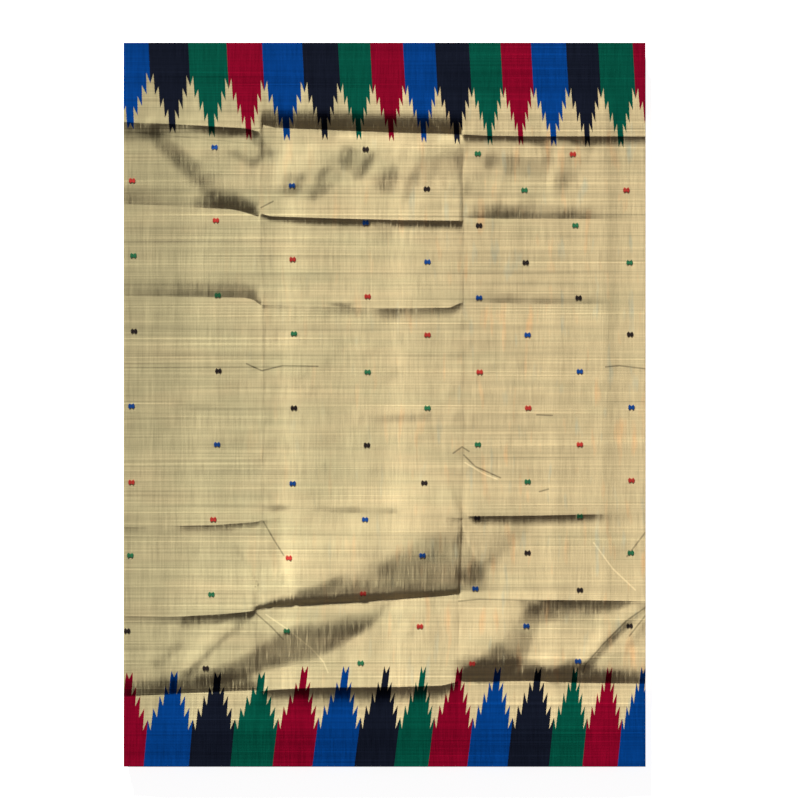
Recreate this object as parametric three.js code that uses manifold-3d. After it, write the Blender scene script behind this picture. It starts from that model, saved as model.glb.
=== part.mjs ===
import * as THREE from 'three';
import { mergeVertices } from 'three/addons/utils/BufferGeometryUtils.js';
import Module from 'manifold-3d';

// A handloom tussar silk saree, folded to and fro in seven layers and laid flat. The top layer is opened out
// and still holds the creases of the small packet that it was sold in. Both borders are solid colour blocks that
// end in temple spires, woven into the beige field.
//
// Millimetres. +X runs along the length of the cloth, +Y across it towards the upper border and +Z is up.
// The origin is in the middle of the flat underside.

// ---- driving dimensions ----
const LOOM_WIDTH = 1150; // selvedge to selvedge
const FOLD_LENGTH = 828.7; // fold edge to fold edge
const HIDDEN_LAYERS = 6;
const LAYER_PITCH = 1.6; // one layer of cloth and the air that it traps
const WALL = 1.4; // the top layer as a wall
const GAP = 0.3; // between pieces that touch
const ROLL_RADIUS = 3.2; // outer radius where the top layer turns over at a fold edge
const ROLL_ANGLES = [90, 60, 30].map((degrees) => (degrees * Math.PI) / 180);
const LIE = 3; // how high the top layer floats above the stack between its creases

const HALF_LENGTH = FOLD_LENGTH / 2;
const HALF_WIDTH = LOOM_WIDTH / 2;
const STACK_HEIGHT = HIDDEN_LAYERS * LAYER_PITCH;

// Silk colours.
const COLOURS = { beige: 0xc2b085, blue: 0x024083, black: 0x1f2130, green: 0x025444, red: 0x8b0a2c };

// ---- the packet creases ----
// Two creases run along +Y and part the top layer into a left, a middle and a right panel. Six more cross them.
// y gives each cross crease at the left edge, the two long creases and the right edge; left and right give the
// long creases where it crosses them.
const CROSS_CREASES = [
  { y: [449, 437, 431, 426], left: -195, right: 123 },
  { y: [320, 302, 293, 297], left: -198, right: 125 },
  { y: [171, 161, 162, 159], left: -194, right: 126 },
  { y: [-199, -185, -179, -174], left: -197, right: 123 },
  { y: [-325, -324, -305, -314], left: -204, right: 119 },
  { y: [-464, -453, -442, -443], left: -205, right: 117 },
];

// Every fold is a straight crest or trough. height holds its rise at the two ends, below zero for a trough, and
// above and below are how far its slopes reach towards +Y and -Y (for a long crease, towards -X and +X).
// soft folds have a round top, the others a sharp one.
const FOLDS = [
  { name: 'left crease 1', from: [-414, 449], to: [-195, 437], height: [3.5, 4.5], above: 50, below: 15 },
  { name: 'middle crease 1', from: [-180, 443], to: [120, 433], height: [-3.2, -3.6], above: 16, below: 40 },
  { name: 'right crease 1', from: [126, 429], to: [414, 426], height: [3.8, 3], above: 45, below: 14 },
  { name: 'left crease 2, flat end', from: [-414, 320], to: [-310, 314], height: [-1.6, -2], above: 16, below: 30 },
  { name: 'left crease 2', from: [-310, 314], to: [-198, 300], height: [-3.4, -4.2], above: 24, below: 34 },
  { name: 'middle crease 2', from: [-192, 303], to: [120, 292], height: [4.2, 5], above: 50, below: 12 },
  { name: 'right crease 2', from: [130, 297], to: [345, 297], height: [-3, -2.2], above: 20, below: 32 },
  { name: 'left crease 3', from: [-390, 170], to: [-198, 162], height: [-2.4, -3.2], above: 20, below: 34 },
  { name: 'middle crease 3', from: [-190, 160], to: [120, 162], height: [2, 3.6], above: 45, below: 18 },
  { name: 'right crease 3', from: [130, 159], to: [345, 159], height: [-1.8, -1.6], above: 14, below: 26 },
  { name: 'left crease 4', from: [-318, -196], to: [-200, -185], height: [1.6, 3.2], above: 40, below: 14 },
  { name: 'middle crease 4', from: [-95, -165], to: [25, -163], height: [-1.6, -2], above: 16, below: 26 },
  { name: 'right crease 4', from: [126, -178], to: [344, -174], height: [3.6, 2], above: 45, below: 13 },
  { name: 'left crease 5', from: [-414, -330], to: [-204, -324], height: [1.4, 2.6], above: 40, below: 16 },
  { name: 'middle crease 5', from: [-201, -323], to: [119, -304], height: [-2.6, -3.8], above: 16, below: 36 },
  { name: 'right crease 5', from: [124, -306], to: [414, -314], height: [1.8, 3.2], above: 40, below: 14 },
  { name: 'left crease 6', from: [-414, -464], to: [-208, -453], height: [-3, -3], above: 30, below: 36 },
  { name: 'middle crease 6', from: [-184, -452], to: [100, -445], height: [4, 4.4], above: 45, below: 13 },
  { name: 'right crease 6', from: [130, -440], to: [414, -443], height: [-3, -3], above: 18, below: 36 },
  { name: 'left long crease', from: [-195, 575], to: [-205, -575], height: [2.4, 2.4], above: 32, below: 26 },
  { name: 'right long crease', from: [124, 575], to: [118, -575], height: [-2.4, -2.4], above: 26, below: 32 },
  { name: 'peak over crease 5', from: [122, -184], to: [-87, -287], height: [5, 1], above: 120, below: 80, soft: true },
  { name: 'peak, right side', from: [122, -184], to: [255, -186], height: [2.5, 0.5], above: 60, below: 70, soft: true },
  { name: 'ridge down to the border', from: [-186, -335], to: [-93, -420], height: [4, 2], above: 26, below: 60 },
  { name: 'left fan', from: [-204, -331], to: [-312, -428], height: [2.4, 1.4], above: 44, below: 22 },
  { name: 'right slope', from: [224, -316], to: [128, -428], height: [4.5, 2], above: 70, below: 34, soft: true },
  { name: 'right pleat', from: [412, -326], to: [316, -420], height: [3, 1.6], above: 40, below: 14 },
  { name: 'upper left trough', from: [-370, 418], to: [-305, 345], height: [-2, -1.6], above: 26, below: 26, soft: true },
];

// ---- the borders ----
// Each block starts at a place along the selvedge and leans by that much for each millimetre inwards. tips and
// valleys are how far the spires and the notches between them lie from the selvedge, at the left edge, the two
// long creases and the right edge.
const BORDERS = [
  {
    name: 'upper',
    side: 1,
    lean: 0.055,
    tips: [136, 152, 159, 163],
    valleys: [47, 62, 73, 74],
    starts: [-445, -375, -312, -251, -195, -132, -76, -26, 27, 80, 134, 184, 232, 288, 339, 394, 449],
    cycle: ['blue', 'black', 'green', 'red'],
  },
  {
    name: 'lower',
    side: -1,
    lean: 0.095,
    tips: [149, 152, 159, 158],
    valleys: [57, 60, 61, 59],
    starts: [-455, -383, -311, -245, -178, -115, -48, 15, 69, 131, 195, 261, 314, 370, 423],
    cycle: ['red', 'blue', 'black', 'green'],
  },
];

// Half of a spire: out is the distance from its middle, 1 at the next block, and down the depth from its tip, 1 at
// the notch. Each step ends in a small barb, and the beige spires between are the same shape turned round.
const SPIRE = [
  { out: 0, down: 0 },
  { out: 0.2, down: 0.36 },
  { out: 0.36, down: 0.28 },
  { out: 0.42, down: 0.56 },
  { out: 0.58, down: 0.44 },
  { out: 0.64, down: 0.72 },
  { out: 0.8, down: 0.64 },
  { out: 1, down: 1 },
];

// ---- small helpers ----
const mix = (a, b, t) => a + (b - a) * t;
const clamp = (value, low, high) => Math.min(high, Math.max(low, value));

// A value given at the left edge, the two long creases and the right edge, read at x.
function across(values, x, left = CROSS_CREASES[0].left, right = CROSS_CREASES[0].right) {
  const stations = [-HALF_LENGTH, left, right, HALF_LENGTH];
  const panel = x < left ? 0 : x < right ? 1 : 2;
  const t = (x - stations[panel]) / (stations[panel + 1] - stations[panel]);
  return mix(values[panel], values[panel + 1], clamp(t, 0, 1));
}

// ---- the height of the top layer ----
function foldHeight({ from, to, height, above, below, soft }, x, y) {
  const [dx, dy] = [to[0] - from[0], to[1] - from[1]];
  const length = Math.hypot(dx, dy);
  const along = ((x - from[0]) * dx + (y - from[1]) * dy) / length;
  const offset = ((y - from[1]) * dx - (x - from[0]) * dy) / length;
  const past = along - clamp(along, 0, length);
  // above is the side towards +Y, or towards -X where the fold runs along +Y
  const isAbove = Math.abs(dx) > Math.abs(dy) / 4 ? offset * dx > 0 : offset * dy > 0;
  const reach = Math.hypot(offset, past) / (isAbove ? above : below);
  if (reach >= 1) return 0;
  return mix(height[0], height[1], clamp(along / length, 0, 1)) * (1 - reach ** (soft ? 2 : 1)) ** 2;
}

// The cloth lies down towards its four edges.
const EDGE_BAND = 60;
const EDGE_SHARE = 0.3;
function edgeShare(x, y) {
  const inwards = Math.min(HALF_LENGTH - Math.abs(x), HALF_WIDTH - Math.abs(y));
  return mix(EDGE_SHARE, 1, Math.sin((clamp(inwards / EDGE_BAND, 0, 1) * Math.PI) / 2));
}

// How far the underside of the top layer stands above the stack.
function rise(x, y) {
  const folds = FOLDS.reduce((sum, fold) => sum + foldHeight(fold, x, y), 0);
  return Math.max(0, LIE + folds) * edgeShare(x, y);
}

// ---- the net of rows and columns that the top layer is built on ----
// Rows lie along each cross crease and at these distances from it, and halfway between.
const ROW_OFFSETS = [18, 0, -11];
const BETWEEN = [0.3, 0.65];
const COLUMNS = { left: [0.35, 0.86], middle: [0.08, 0.36, 0.64, 0.92], right: [0.12, 0.44, 0.75] };

const edgeRow = (y) => ({ ...CROSS_CREASES[y > 0 ? 0 : CROSS_CREASES.length - 1], y: [y, y, y, y] });
const mixRow = (a, b, t) => ({
  y: a.y.map((value, i) => mix(value, b.y[i], t)),
  left: mix(a.left, b.left, t),
  right: mix(a.right, b.right, t),
});

function rows() {
  const creaseRows = CROSS_CREASES.map((crease) =>
    ROW_OFFSETS.map((offset) => ({ ...crease, y: crease.y.map((value) => value + offset) })),
  );
  const groups = [[edgeRow(HALF_WIDTH)], ...creaseRows, [edgeRow(-HALF_WIDTH)]];
  return groups.flatMap((group, i) => {
    const next = groups[i + 1];
    return next ? [...group, ...BETWEEN.map((t) => mixRow(group.at(-1), next[0], t))] : group;
  });
}

const ROLL_START = HALF_LENGTH - ROLL_RADIUS;
function columnPlaces({ left, right }) {
  return [
    -ROLL_START,
    ...COLUMNS.left.map((t) => mix(-ROLL_START, left, t)),
    left,
    ...COLUMNS.middle.map((t) => mix(left, right, t)),
    right,
    ...COLUMNS.right.map((t) => mix(right, ROLL_START, t)),
    ROLL_START,
  ];
}

// The outer and inner point of the wall at each column of a row. At both fold edges the wall rolls over.
function section(row) {
  const flat = columnPlaces(row).map((x) => {
    const y = across(row.y, x, row.left, row.right);
    const z = STACK_HEIGHT + GAP + rise(x, y);
    return { outer: [x, y, z + WALL], inner: [x, y, z] };
  });
  const roll = (side, angles) => {
    const [, y, top] = (side < 0 ? flat[0] : flat.at(-1)).outer;
    const at = (radius, angle) => [
      side * (ROLL_START + radius * Math.sin(angle)),
      y,
      top - ROLL_RADIUS + radius * Math.cos(angle),
    ];
    return angles.map((angle) => ({ outer: at(ROLL_RADIUS, angle), inner: at(ROLL_RADIUS - WALL, angle) }));
  };
  return [...roll(-1, ROLL_ANGLES), ...flat, ...roll(1, [...ROLL_ANGLES].reverse())];
}

// ---- solids ----
function geometryOf(positions, faces) {
  const geometry = new THREE.BufferGeometry();
  geometry.setAttribute('position', new THREE.Float32BufferAttribute(positions, 3));
  geometry.setIndex(faces);
  geometry.computeVertexNormals();
  return geometry;
}

// A closed wall between the outer and the inner points of a net whose rows run from +Y to -Y.
function wallGeometry(net) {
  const [rowCount, columnCount] = [net.length, net[0].length];
  const layer = rowCount * columnCount;
  const positions = [...net.flat().flatMap((p) => p.outer), ...net.flat().flatMap((p) => p.inner)];
  const faces = [];
  const quad = (a, b, c, d) => faces.push(a, b, c, a, c, d);
  const at = (r, c) => r * columnCount + c;
  for (let r = 0; r + 1 < rowCount; r++) {
    for (let c = 0; c + 1 < columnCount; c++) {
      const corners = [at(r, c), at(r + 1, c), at(r + 1, c + 1), at(r, c + 1)];
      quad(...corners);
      quad(...corners.map((i) => i + layer).reverse());
    }
    for (const [c, turn] of [[0, 1], [columnCount - 1, -1]]) {
      const edge = [at(r, c), at(r, c) + layer, at(r + 1, c) + layer, at(r + 1, c)];
      quad(...(turn > 0 ? edge : edge.reverse()));
    }
  }
  for (let c = 0; c + 1 < columnCount; c++) {
    for (const [r, turn] of [[0, 1], [rowCount - 1, -1]]) {
      const edge = [at(r, c), at(r, c + 1), at(r, c + 1) + layer, at(r, c) + layer];
      quad(...(turn > 0 ? edge : edge.reverse()));
    }
  }
  return geometryOf(positions, faces);
}

// The layers below the top one: a stack of outlines, each layer as far in from the top layer's edges as its row
// says. A layer's edge is round, and where two layers are one fold, the nip between them is closed.
const LAYERS = [
  { left: 4.6, right: 3.4, upper: 4.2, lower: 3.6 },
  { left: 2.4, right: 3.0, upper: 2.6, lower: 5.2 },
  { left: 2.8, right: 1.6, upper: 4.8, lower: 2.8 },
  { left: 1.8, right: 1.9, upper: 3.2, lower: 4.4 },
  { left: 1.9, right: 3.9, upper: 2.2, lower: 2.6 },
  { left: 4.0, right: 4.0, upper: 3.4, lower: 3.2 },
];
const NIP = 1.1;
const WAVER = 0.5; // how much a folded edge wanders in and out
const EDGE_STEPS = 7;

function stackRing(insets, z, phase) {
  const wander = (t) => WAVER * Math.sin(2 * Math.PI * t + phase) * Math.sin(Math.PI * t);
  const [west, east] = [-HALF_LENGTH + insets.left, HALF_LENGTH - insets.right];
  const [south, north] = [-HALF_WIDTH + insets.lower, HALF_WIDTH - insets.upper];
  const sides = [
    (t) => [mix(west, east, t), south - wander(t)],
    (t) => [east + wander(t), mix(south, north, t)],
    (t) => [mix(east, west, t), north + wander(t)],
    (t) => [west - wander(t), mix(north, south, t)],
  ];
  return sides.flatMap((side) => Array.from({ length: EDGE_STEPS }, (_, i) => [...side(i / EDGE_STEPS), z]));
}

function stackGeometry() {
  const between = (under, over, level) => {
    const deepest = (key) => Math.max(under[key], over[key]);
    const isRightFold = level % 2 === 1; // a pair is joined at the right, the next one at the left
    return {
      left: deepest('left') + (isRightFold || level === 0 ? NIP : 0),
      right: deepest('right') + (isRightFold && level < HIDDEN_LAYERS ? 0 : NIP),
      upper: deepest('upper') + NIP,
      lower: deepest('lower') + NIP,
    };
  };
  const rings = [];
  LAYERS.forEach((layer, level) => {
    rings.push(stackRing(between(LAYERS[level - 1] ?? layer, layer, level), level * LAYER_PITCH, level));
    rings.push(stackRing(layer, (level + 0.5) * LAYER_PITCH, level));
  });
  const top = LAYERS.at(-1);
  rings.push(stackRing(between(top, top, HIDDEN_LAYERS), STACK_HEIGHT, HIDDEN_LAYERS));

  const count = rings[0].length;
  const faces = [];
  for (let r = 0; r + 1 < rings.length; r++) {
    for (let i = 0; i < count; i++) {
      const [a, b] = [r * count + i, r * count + ((i + 1) % count)];
      faces.push(a, b, b + count, a, b + count, a + count);
    }
  }
  const cap = (ring, offset, turn) => {
    const outline = ring.map(([x, y]) => new THREE.Vector2(x, y));
    for (const [a, b, c] of THREE.ShapeUtils.triangulateShape(outline, [])) {
      faces.push(...(turn > 0 ? [a, b, c] : [c, b, a]).map((i) => i + offset));
    }
  };
  cap(rings[0], 0, -1);
  cap(rings.at(-1), (rings.length - 1) * count, 1);
  return geometryOf(rings.flat(2), faces);
}

// ---- outlines of the woven pieces, seen from above ----
const EDGE_MARGIN = 20; // outlines reach this far past the selvedge

function borderPoint(border, x, depth) {
  return [x + border.lean * depth, border.side * (HALF_WIDTH - depth)];
}

// The jagged line across block k, from its first side to its last.
function spireLine(border, k) {
  const [first, last] = [border.starts[k], border.starts[k + 1]];
  const [middle, half] = [(first + last) / 2, (last - first) / 2];
  const rising = SPIRE.slice(1).reverse().map(({ out, down }) => ({ out: -out, down }));
  return [...rising, ...SPIRE].map(({ out, down }) => {
    const x = middle + out * half;
    return borderPoint(border, x, mix(across(border.tips, x), across(border.valleys, x), down));
  });
}

function blockOutline(border, k) {
  const selvedge = [border.starts[k + 1], border.starts[k]].map((x) => borderPoint(border, x, -EDGE_MARGIN));
  return [...spireLine(border, k), ...selvedge];
}

function fieldOutline() {
  const [upper, lower] = BORDERS.map((border) => {
    const lines = border.starts.slice(1).map((_, k) => spireLine(border, k));
    return lines.flatMap((line, k) => (k === 0 ? line : line.slice(1)));
  });
  return [...lower, ...upper.reverse()];
}

// The outline moved in by a distance, corner by corner.
function inset(outline, by) {
  const points = outline.map(([x, y]) => new THREE.Vector2(x, y));
  if (THREE.ShapeUtils.isClockWise(points)) points.reverse();
  return points.map((point, i) => {
    const before = point.clone().sub(points.at(i - 1)).normalize();
    const after = points[(i + 1) % points.length].clone().sub(point).normalize();
    const share = by / (1 + before.dot(after));
    return new THREE.Vector2(point.x - (before.y + after.y) * share, point.y + (before.x + after.x) * share);
  });
}

// ---- cutting the top layer into its pieces ----
const wasm = await Module();
wasm.setup();

function solidOf(geometry) {
  const plain = geometry.clone();
  plain.deleteAttribute('normal');
  plain.deleteAttribute('uv');
  const merged = mergeVertices(plain, 1e-4);
  const vertProperties = merged.getAttribute('position').array;
  return new wasm.Manifold(new wasm.Mesh({ numProp: 3, vertProperties, triVerts: merged.getIndex().array }));
}

const topLayer = solidOf(wallGeometry(rows().map(section)));
const CUT_HEIGHT = 3 * STACK_HEIGHT;

function cutPiece(outline) {
  const prism = new THREE.ExtrudeGeometry(new THREE.Shape(inset(outline, GAP / 2)), {
    depth: CUT_HEIGHT,
    bevelEnabled: false,
  });
  const { vertProperties, triVerts } = topLayer.intersect(solidOf(prism)).getMesh();
  return geometryOf(vertProperties, [...triVerts]);
}

function silk(colour) {
  return new THREE.MeshStandardMaterial({
    name: `silk_${colour}`,
    color: COLOURS[colour],
    roughness: 0.55,
    metalness: 0,
    flatShading: true,
  });
}

function addPiece(group, name, geometry, colour) {
  const mesh = new THREE.Mesh(geometry, silk(colour));
  mesh.name = name;
  group.add(mesh);
}

// ---- the saree ----
const saree = new THREE.Group();
saree.name = 'saree';
addPiece(saree, 'folded_layers', stackGeometry(), 'beige');
addPiece(saree, 'field', cutPiece(fieldOutline()), 'beige');
for (const border of BORDERS) {
  for (let k = 0; k + 1 < border.starts.length; k++) {
    const colour = border.cycle[k % border.cycle.length];
    const number = String(k + 1).padStart(2, '0');
    addPiece(saree, `${border.name}_border_${number}_${colour}`, cutPiece(blockOutline(border, k)), colour);
  }
}

export default saree;
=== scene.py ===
import math

import bmesh
import bpy
import numpy as np
from mathutils import Matrix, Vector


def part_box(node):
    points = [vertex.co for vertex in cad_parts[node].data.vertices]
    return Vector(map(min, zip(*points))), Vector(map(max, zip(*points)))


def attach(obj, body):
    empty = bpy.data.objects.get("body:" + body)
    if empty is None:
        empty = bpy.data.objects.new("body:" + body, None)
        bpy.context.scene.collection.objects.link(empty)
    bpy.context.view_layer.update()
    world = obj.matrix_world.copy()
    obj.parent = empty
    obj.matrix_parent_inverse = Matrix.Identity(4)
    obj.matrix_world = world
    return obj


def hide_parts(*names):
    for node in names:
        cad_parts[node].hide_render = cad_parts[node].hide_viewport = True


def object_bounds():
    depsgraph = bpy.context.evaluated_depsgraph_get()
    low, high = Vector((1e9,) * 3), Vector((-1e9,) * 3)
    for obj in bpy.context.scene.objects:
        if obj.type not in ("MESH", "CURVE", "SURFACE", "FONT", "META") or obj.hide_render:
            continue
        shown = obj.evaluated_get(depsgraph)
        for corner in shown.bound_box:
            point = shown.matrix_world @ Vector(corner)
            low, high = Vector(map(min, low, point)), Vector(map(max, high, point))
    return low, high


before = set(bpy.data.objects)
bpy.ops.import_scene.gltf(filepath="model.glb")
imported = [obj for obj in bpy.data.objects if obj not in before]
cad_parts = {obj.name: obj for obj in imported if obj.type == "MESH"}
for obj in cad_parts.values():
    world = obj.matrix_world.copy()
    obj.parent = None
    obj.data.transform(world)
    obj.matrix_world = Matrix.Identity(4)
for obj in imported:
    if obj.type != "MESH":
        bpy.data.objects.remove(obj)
cad_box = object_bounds()

# ---- Camera ----
# The saree lies flat and is seen from straight above, with a white margin all round it. The view is narrow,
# as from a camera on a high stand.
MM = 0.001
VIEW_WIDTH = 1274 * MM
VIEW_CENTRE = (24.5 * MM, 7.5 * MM)
CAMERA_HEIGHT = 6.0
camera_data = bpy.data.cameras.new("camera")
camera_data.lens = camera_data.sensor_width * CAMERA_HEIGHT / VIEW_WIDTH
camera = bpy.data.objects.new("camera", camera_data)
camera.location = (*VIEW_CENTRE, CAMERA_HEIGHT)
bpy.context.collection.objects.link(camera)
bpy.context.scene.camera = camera
bpy.context.scene.view_settings.view_transform = "Standard"

# ---- Studio ----
# A plain white floor that glows a little, so that shadows on it stay pale. The main light is low and comes
# over the upper border, a little from the left, so that every crease shows, and a pale surround fills the
# shade. The light's angles and softness are in degrees.
FLOOR_SIZE = 12.0
MAIN_LIGHT = {"elevation": 15, "azimuth": -14, "softness": 5, "strength": 10.2}
FILL_STRENGTH = 0.08
FLOOR_SHADE = (0.93, 0.93, 0.93, 1)
FLOOR_GLOW = 0.9
FILL_SHADE = (1.04, 0.96, 1.04, 1)


def put_in(tree, inputs, values):
    """Numbers set, and sockets linked, in the inputs of a node."""
    for key, value in values.items():
        if isinstance(value, bpy.types.NodeSocket):
            tree.links.new(value, inputs[key])
        else:
            inputs[key].default_value = value


def new_finish(name):
    """A material, its node tree and its shader."""
    finish = bpy.data.materials.new(name)
    finish.use_nodes = True
    return finish, finish.node_tree, finish.node_tree.nodes["Principled BSDF"]


def object_from(bm, name, finish):
    mesh = bpy.data.meshes.new(name)
    bm.to_mesh(mesh)
    bm.free()
    mesh.materials.append(finish)
    made = bpy.data.objects.new(name, mesh)
    bpy.context.collection.objects.link(made)
    return made


floor_paint, floor_tree, floor_shader = new_finish("floor_paint")
put_in(floor_tree, floor_shader.inputs, {
    "Base Color": FLOOR_SHADE,
    "Roughness": 0.9,
    "Specular IOR Level": 0.1,
    "Emission Color": (1, 1, 1, 1),
    "Emission Strength": FLOOR_GLOW,
})
floor_net = bmesh.new()
bmesh.ops.create_grid(floor_net, x_segments=1, y_segments=1, size=FLOOR_SIZE / 2)
floor = object_from(floor_net, "floor", floor_paint)

light_data = bpy.data.lights.new("main_light", "SUN")
light_data.energy = MAIN_LIGHT["strength"]
light_data.angle = math.radians(MAIN_LIGHT["softness"])
light = bpy.data.objects.new("main_light", light_data)
light_turns = (MAIN_LIGHT["elevation"] - 90, 0, -MAIN_LIGHT["azimuth"])
light.rotation_euler = [math.radians(turn) for turn in light_turns]
bpy.context.collection.objects.link(light)
world = bpy.data.worlds.new("surround")
world.use_nodes = True
background = world.node_tree.nodes["Background"]
put_in(world.node_tree, background.inputs, {"Color": FILL_SHADE, "Strength": FILL_STRENGTH})
bpy.context.scene.world = world

# ---- Top layer ----
# One loom width of golden beige tussar silk, opened out flat, its left and right ends folded under. Two
# long creases and six cross creases are left from the packet that it was sold in, and at each crossing a
# ridge turns into a trough.
half_length, half_width = cad_box[1][0], cad_box[1][1]
stack_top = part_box("folded_layers")[1][2]
CLOTH = 0.6 * MM  # its thickness, slubs and all
TOP_LIFT = 1.3 * MM  # the middle of the cloth over the stack where it lies lowest
LIE = 6 * MM  # how much higher it lies between its creases
EDGE_FALL = 2 * MM  # how much lower it lies at its edges
EDGE_BAND = {"selvedge": 110 * MM, "end": 50 * MM}  # how far in from an edge it starts to fall
EDGE_SHARE = {"selvedge": 0.35, "end": 0.75}  # share of a crease's rise that is left at the edge
FLAT_SOFTNESS = 0.5  # how gently a deep trough flattens out on the stack, in mm

# Points of each cross crease from left to right, in mm: x, y, rise, reach of its dark slope and of its
# light one. A ridge rises and a trough falls. The slope away from the upper selvedge is the dark one.
CROSS_CREASES = [
    [
        (-415, 449, 3.7, 38, 90), (-385, 447, 3.3, 32, 90), (-340, 446, 2.6, 20, 90),
        (-226, 439, 2.5, 18, 90), (-205, 436, 2.2, 14, 80), (-197, 436, 1.2, 10, 60),
        (-194, 445, -1.8, 24, 60), (-175, 440, -2.8, 34, 200), (-73, 436, -2.9, 32, 220),
        (25, 432, -3.0, 32, 220), (107, 430, -2.9, 29, 220), (122, 429, -1.8, 24, 60),
        (125, 429, 1.8, 14, 80), (160, 427, 2.5, 17, 90), (238, 426, 2.9, 23, 90), (340, 426, 2.2, 16, 90),
        (415, 426, 1.8, 13, 90),
    ],
    [
        (-415, 319, -1.6, 29, 80), (-350, 316, -0.6, 22, 80), (-304, 313, -0.4, 22, 80),
        (-284, 312, -1.8, 29, 80), (-246, 311, -2.8, 36, 80), (-227, 307, -2.8, 34, 80),
        (-211, 302, -2.2, 22, 70), (-200, 298.5, -1.3, 10, 40), (-196, 304, 0.9, 8, 50),
        (-182, 299, 1.4, 8, 80), (-92, 296, 2.5, 14, 80), (21, 293, 2.6, 14, 80), (118, 292, 2.6, 14, 80),
        (123, 291, 1.2, 10, 50), (126, 296, -0.3, 14, 50), (150, 296, -1.0, 19, 80),
        (190, 295, -1.5, 23, 80), (225, 295, -1.2, 18, 80), (250, 295, -0.7, 14, 80),
        (275, 295, -1.3, 20, 80), (322, 295, -1.2, 20, 80), (345, 295, -0.4, 14, 60),
        (415, 295, -0.1, 14, 50),
    ],
    [
        (-415, 172, -0.5, 24, 80), (-390, 172, -0.8, 30, 80), (-294, 171, -1.2, 30, 80),
        (-222, 170, -1.4, 31, 80), (-207, 166, -1.5, 22, 70), (-198, 159, -1.3, 12, 50),
        (-194, 158, 0.4, 6, 50), (-172, 158, 0.2, 7, 70), (-100, 156, 0.2, 10, 80), (-72, 155, 0.6, 14, 80),
        (-38, 154, 0.7, 16, 80), (-28, 154, 0.2, 12, 80), (-16, 153, 0.4, 14, 80), (-8, 153, 1.8, 19, 80),
        (12, 153, 1.5, 19, 80), (40, 153, 1.2, 18, 80), (104, 154, 1.5, 18, 80), (121, 162, 0.9, 11, 50),
        (126, 163, 0, 12, 50), (150, 162, -0.2, 14, 70), (168, 161, -0.5, 17, 70), (190, 161, -0.9, 18, 70),
        (214, 160, -0.5, 17, 70), (228, 160, -0.2, 14, 70), (250, 160, -0.8, 18, 70),
        (280, 160, -0.5, 16, 70), (294, 160, -0.2, 14, 70), (312, 160, -0.6, 17, 70),
        (340, 160, -0.4, 16, 70), (352, 160, -0.1, 16, 50), (415, 160, 0, 16, 50),
    ],
    [
        (-415, -194, 0.7, 12, 60), (-388, -194, 0.4, 12, 60), (-372, -193, 0.1, 12, 60),
        (-334, -192, 0.1, 12, 60), (-318, -192, 0.9, 12, 80), (-268, -191, 1.0, 12, 80),
        (-202, -186, 1.2, 13, 80), (-197, -184, 0.3, 10, 50), (-110, -170, -0.1, 19, 50),
        (-88, -171, -0.3, 24, 50), (10, -171, -0.3, 24, 50), (34, -173, -0.1, 19, 50),
        (112, -179, 0.4, 10, 60), (122, -178, 1.0, 11, 70), (130, -177, 1.6, 14, 80),
        (238, -176, 1.9, 16, 80), (330, -174, 1.4, 14, 80), (354, -174, 0.2, 12, 60),
        (415, -174, 0.1, 12, 60),
    ],
    [
        (-415, -335, 0.7, 18, 80), (-345, -337, 0.8, 17, 80), (-326, -336, 1.8, 19, 80),
        (-268, -333, 2.4, 22, 80), (-232, -330, 2.9, 20, 80), (-208, -327, 2.4, 11, 80),
        (-203, -324, -1, 6, 40), (-178, -320, -1.5, 9, 50), (-150, -318, -2.0, 10, 40),
        (-61, -313, -2.4, 11, 34), (25, -308, -2.2, 11, 44), (70, -305, -2.0, 10, 60),
        (98, -303, -1.7, 9, 60), (117, -300, -1.4, 8, 50), (120, -298, -0.9, 8, 40),
        (123, -304, 0.2, 10, 50), (150, -308, 0.4, 12, 70), (200, -310, 0.6, 14, 70),
        (217, -310, 3.2, 41, 90), (260, -310, 3.9, 41, 90), (320, -310, 2.8, 28, 90),
        (415, -312, 1.6, 17, 90),
    ],
    [
        (-415, -464, -3, 36, 80), (-321, -459, -3.2, 38, 80), (-240, -455, -2.9, 37, 80),
        (-212, -454, -2.4, 29, 70), (-203, -454, -0.8, 14, 50), (-197, -455, 0.6, 11, 50),
        (-184, -453, 2.2, 17, 80), (-108, -449, 3.2, 23, 80), (25, -448, 3.5, 25, 80),
        (90, -446, 3.4, 24, 80), (112, -441, 1.6, 17, 60), (119, -438, -0.2, 14, 50),
        (124, -440, -2.2, 26, 60), (150, -440, -3.2, 34, 80), (238, -439, -3.6, 36, 80),
        (305, -442, -3.2, 32, 80), (415, -443, -2.8, 30, 80),
    ],
]

# The two long creases from the lower selvedge up, in mm: y, x, rise, dark reach and light reach. The left
# one is a ridge, the right one a trough. The slope that faces right is the dark one.
LONG_CREASES = [
    [
        (-575, -206, 0.6, 7, 34), (-454, -205, 0.8, 7, 34), (-324, -204, 0.8, 7, 34),
        (-247, -200, 0.8, 7, 34), (-184, -197, 0.8, 7, 34), (-56, -194, 0.9, 7, 34),
        (159, -194, 0.9, 6, 34), (301, -198, 0.8, 6, 34), (437, -195, 0.8, 7, 34), (575, -195, 0.6, 7, 34),
    ],
    [
        (-575, 115, -0.7, 9, 34), (-438, 117, -1.2, 9, 34), (-312, 119, -1.2, 9, 34),
        (-296, 120, -2.6, 8, 34), (-205, 123, -2.4, 7, 34), (-176, 123, -1.1, 8, 34),
        (-64, 126, -0.9, 7, 34), (164, 126, -1.1, 8, 34), (284, 125, -1.3, 8, 34), (300, 125, -2.2, 8, 24),
        (405, 124, -2.2, 8, 24), (431, 123, -1.1, 9, 34), (575, 123, -0.7, 9, 34),
    ],
]

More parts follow.
